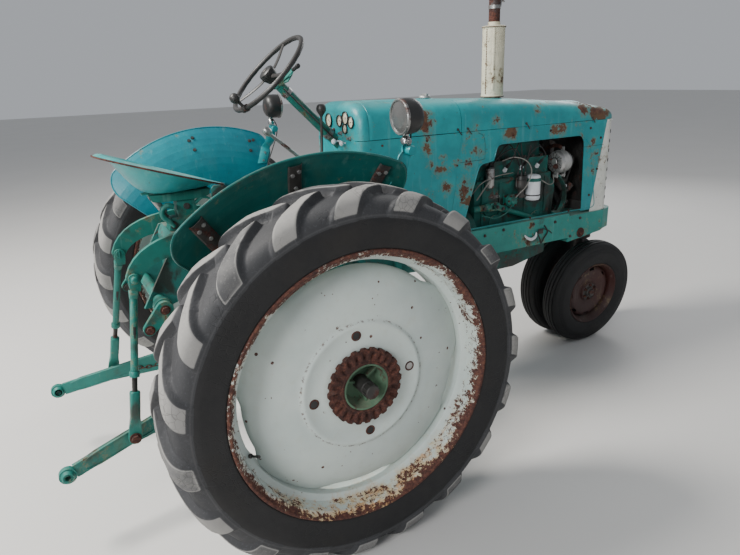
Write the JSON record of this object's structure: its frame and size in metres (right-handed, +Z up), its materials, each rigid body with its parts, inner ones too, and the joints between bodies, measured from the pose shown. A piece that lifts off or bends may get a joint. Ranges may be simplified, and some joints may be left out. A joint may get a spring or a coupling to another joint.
{
  "type": "row-crop tractor",
  "caption": "Old row-crop farm tractor with a narrow twin-wheel front, open engine bay, tall lugged rear tyres, pan seat and rear lift linkage.",
  "frame": {"origin": "on the ground, in the middle of the outline seen from above", "axes": "+X forward, +Y to the left, +Z up"},
  "size_m": [3.5334, 2.176, 2.1214],
  "materials": {
    "teal_paint": "weathered gloss",
    "casting_paint": "painted casting",
    "rusty_iron": "rusted",
    "dark_iron": "dull",
    "filter_white": "satin",
    "bare_aluminium": "as cast",
    "cream_paint": "weathered",
    "rust_red_paint": "weathered",
    "tyre_rubber": "dusty",
    "black_grip": "worn",
    "plated_steel": "dull",
    "lamp_black": "satin"
  },
  "bodies": {
    "chassis": {"rear_housing": "casting_paint", "axle_tubes": "casting_paint", "clutch_housing": "casting_paint", "engine_block": "casting_paint", "cylinder_head": "casting_paint", "manifold": "rusty_iron", "oil_filter": "filter_white", "alternator": "bare_aluminium", "distributor": "dark_iron", "fuel_pump": "casting_paint", "fan": "dark_iron", "radiator": "dark_iron", "frame_rails": "teal_paint", "front_bolster": "teal_paint", "hood": "teal_paint", "side_panel_left": "teal_paint", "side_panel_right": "teal_paint", "cowl": "teal_paint", "fuel_tank": "dark_iron", "grille": "cream_paint", "muffler": "cream_paint", "steering_column": "teal_paint", "controls": "plated_steel", "foot_controls": "casting_paint", "steering_shaft": "teal_paint", "fender_left": "teal_paint", "fender_right": "teal_paint", "lamps": "lamp_black", "seat_pan": "teal_paint", "seat_support": "teal_paint", "lift_housing": "casting_paint", "cross_shaft": "teal_paint", "link_bracket": "casting_paint"},
    "rear_wheel_left": {"rear_tyre_left": "tyre_rubber", "rear_rim_left": "cream_paint", "rear_disc_left": "cream_paint", "rear_hub_left": "rusty_iron"},
    "rear_wheel_right": {"rear_tyre_right": "tyre_rubber", "rear_rim_right": "cream_paint", "rear_disc_right": "cream_paint", "rear_hub_right": "rusty_iron"},
    "front_axle": {"front_spindle": "dark_iron"},
    "front_wheel_l": {"front_tyre_left": "tyre_rubber", "front_wheel_left": "rust_red_paint"},
    "front_wheel_r": {"front_tyre_right": "tyre_rubber", "front_wheel_right": "rust_red_paint"},
    "handwheel": {"steering_wheel": "black_grip"},
    "lift_shaft": {"lift_arms": "teal_paint"},
    "lift_rod_l": {"lift_link_left": "teal_paint"},
    "lift_rod_r": {"lift_link_right": "teal_paint"},
    "draft_link_l": {"lower_link_left": "teal_paint"},
    "draft_link_r": {"lower_link_right": "teal_paint"}
  },
  "joints": [
    {"name": "rear_wheel_left_spin", "type": "hinge", "parent": "chassis", "child": "rear_wheel_left", "pos_m": [-0.74, 0.937, 0.705], "axis": [0, 1, 0], "continuous": true},
    {"name": "rear_wheel_right_spin", "type": "hinge", "parent": "chassis", "child": "rear_wheel_right", "pos_m": [-0.74, -0.937, 0.705], "axis": [0, 1, 0], "continuous": true},
    {"name": "front_steer", "type": "hinge", "parent": "chassis", "child": "front_axle", "pos_m": [1.423, 0, 0.705], "axis": [0, 0, 1], "range_deg": [-65, 65]},
    {"name": "front_wheel_left_spin", "type": "hinge", "parent": "front_axle", "child": "front_wheel_l", "pos_m": [1.423, 0.10594, 0.34503], "axis": [0, 0.9972, -0.075], "continuous": true},
    {"name": "front_wheel_right_spin", "type": "hinge", "parent": "front_axle", "child": "front_wheel_r", "pos_m": [1.423, -0.10594, 0.34503], "axis": [0, 0.9972, 0.075], "continuous": true},
    {"name": "handwheel_turn", "type": "hinge", "parent": "chassis", "child": "handwheel", "pos_m": [-0.635, 0, 1.771], "axis": [-0.7071, 0, 0.7071], "range_deg": [-330, 330]},
    {"name": "hitch_lift", "type": "hinge", "parent": "chassis", "child": "lift_shaft", "pos_m": [-0.97, 0, 1.12], "axis": [0, 1, 0], "range_deg": [-12, 35]},
    {"name": "lift_rod_left_swing", "type": "hinge", "parent": "lift_shaft", "child": "lift_rod_l", "pos_m": [-1.359, 0.223, 1.004], "axis": [0, 1, 0], "range_deg": [-35, 12]},
    {"name": "lift_rod_right_swing", "type": "hinge", "parent": "lift_shaft", "child": "lift_rod_r", "pos_m": [-1.359, -0.223, 1.004], "axis": [0, 1, 0], "range_deg": [-35, 12]},
    {"name": "draft_link_left_swing", "type": "hinge", "parent": "chassis", "child": "draft_link_l", "pos_m": [-0.76, 0.15, 0.515], "axis": [0, 1, 0], "range_deg": [-7, 20]},
    {"name": "draft_link_right_swing", "type": "hinge", "parent": "chassis", "child": "draft_link_r", "pos_m": [-0.76, -0.15, 0.515], "axis": [0, 1, 0], "range_deg": [-7, 20]}
  ],
  "couplings": [
    {"joint": "handwheel_turn", "follows": "front_steer", "ratio": 5},
    {"joint": "lift_rod_left_swing", "follows": "hitch_lift", "ratio": -0.981},
    {"joint": "lift_rod_right_swing", "follows": "hitch_lift", "ratio": -0.981},
    {"joint": "draft_link_left_swing", "follows": "hitch_lift", "ratio": 0.5616},
    {"joint": "draft_link_right_swing", "follows": "hitch_lift", "ratio": 0.5616}
  ]
}
